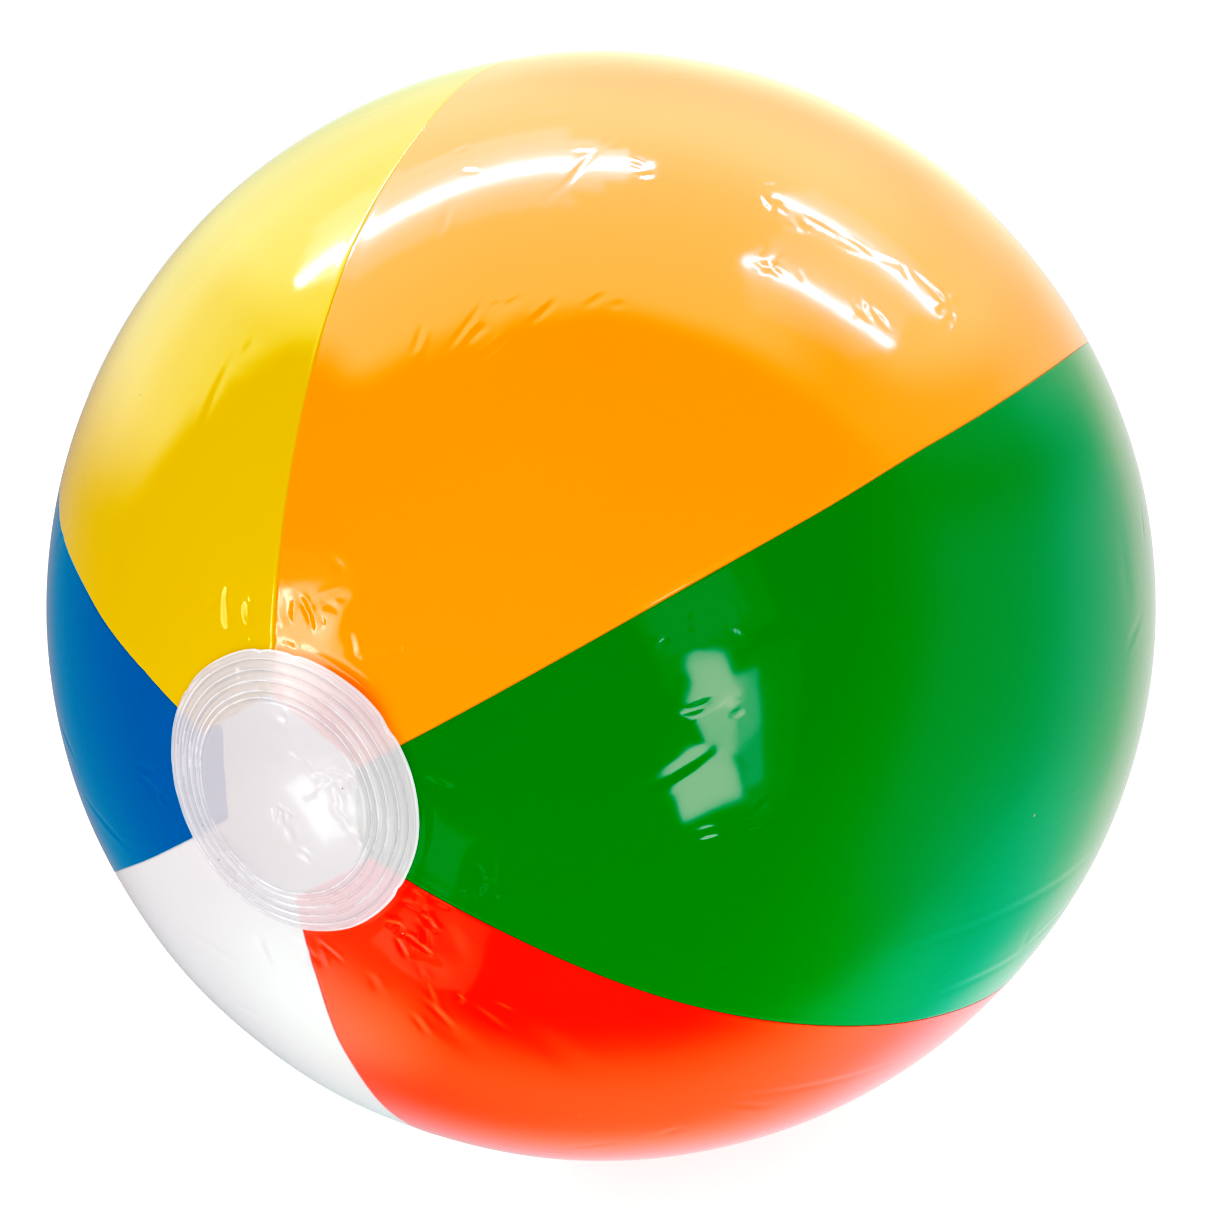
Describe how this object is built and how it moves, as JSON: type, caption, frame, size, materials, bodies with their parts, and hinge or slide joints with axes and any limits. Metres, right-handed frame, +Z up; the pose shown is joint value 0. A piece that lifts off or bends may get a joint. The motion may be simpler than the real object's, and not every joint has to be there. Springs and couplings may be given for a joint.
{
  "type": "inflatable beach ball",
  "caption": "Inflatable beach ball of coloured film gores with a milky disc at each end and a push-in valve with a tethered plug.",
  "frame": {"origin": "centre of the ball", "axes": "+Y along the ball's axis from the plain end disc to the valve, +Z up, with the ball lying on its side"},
  "size_m": [0.39, 0.3933, 0.3891],
  "materials": {
    "pvc_yellow": "glossy vinyl film",
    "pvc_orange": "glossy vinyl film",
    "pvc_green": "glossy vinyl film",
    "pvc_red": "glossy vinyl film",
    "pvc_blue": "glossy vinyl film",
    "pvc_white": "glossy vinyl film",
    "pvc_milky": "milky translucent vinyl film",
    "valve_clear": "soft moulded translucent vinyl"
  },
  "bodies": {
    "ball": {"panel_yellow": "pvc_yellow", "panel_orange": "pvc_orange", "panel_green": "pvc_green", "panel_red": "pvc_red", "panel_white": "pvc_white", "panel_blue": "pvc_blue", "end_disc_front": "pvc_milky", "end_disc_valve": "pvc_milky", "valve_flange": "valve_clear", "valve_skirt": "valve_clear"},
    "valve": {"valve_stem": "valve_clear", "plug_tether": "valve_clear"},
    "stopper": {"plug": "valve_clear"},
    "flap": {"check_flap": "valve_clear"}
  },
  "joints": [
    {"name": "valve_slide", "type": "slide", "parent": "ball", "child": "valve", "axis": [0, 1, 0], "range_m": [0, 0.013], "deforming": ["valve_skirt"]},
    {"name": "plug_swing", "type": "hinge", "parent": "valve", "child": "stopper", "pos_m": [0.0124, 0.19675, 0], "axis": [0, 0, -1], "range_deg": [0, 165]},
    {"name": "flap_swing", "type": "hinge", "parent": "valve", "child": "flap", "pos_m": [-0.005, 0.1805, 0], "axis": [0, 0, -1], "range_deg": [0, 65]}
  ]
}
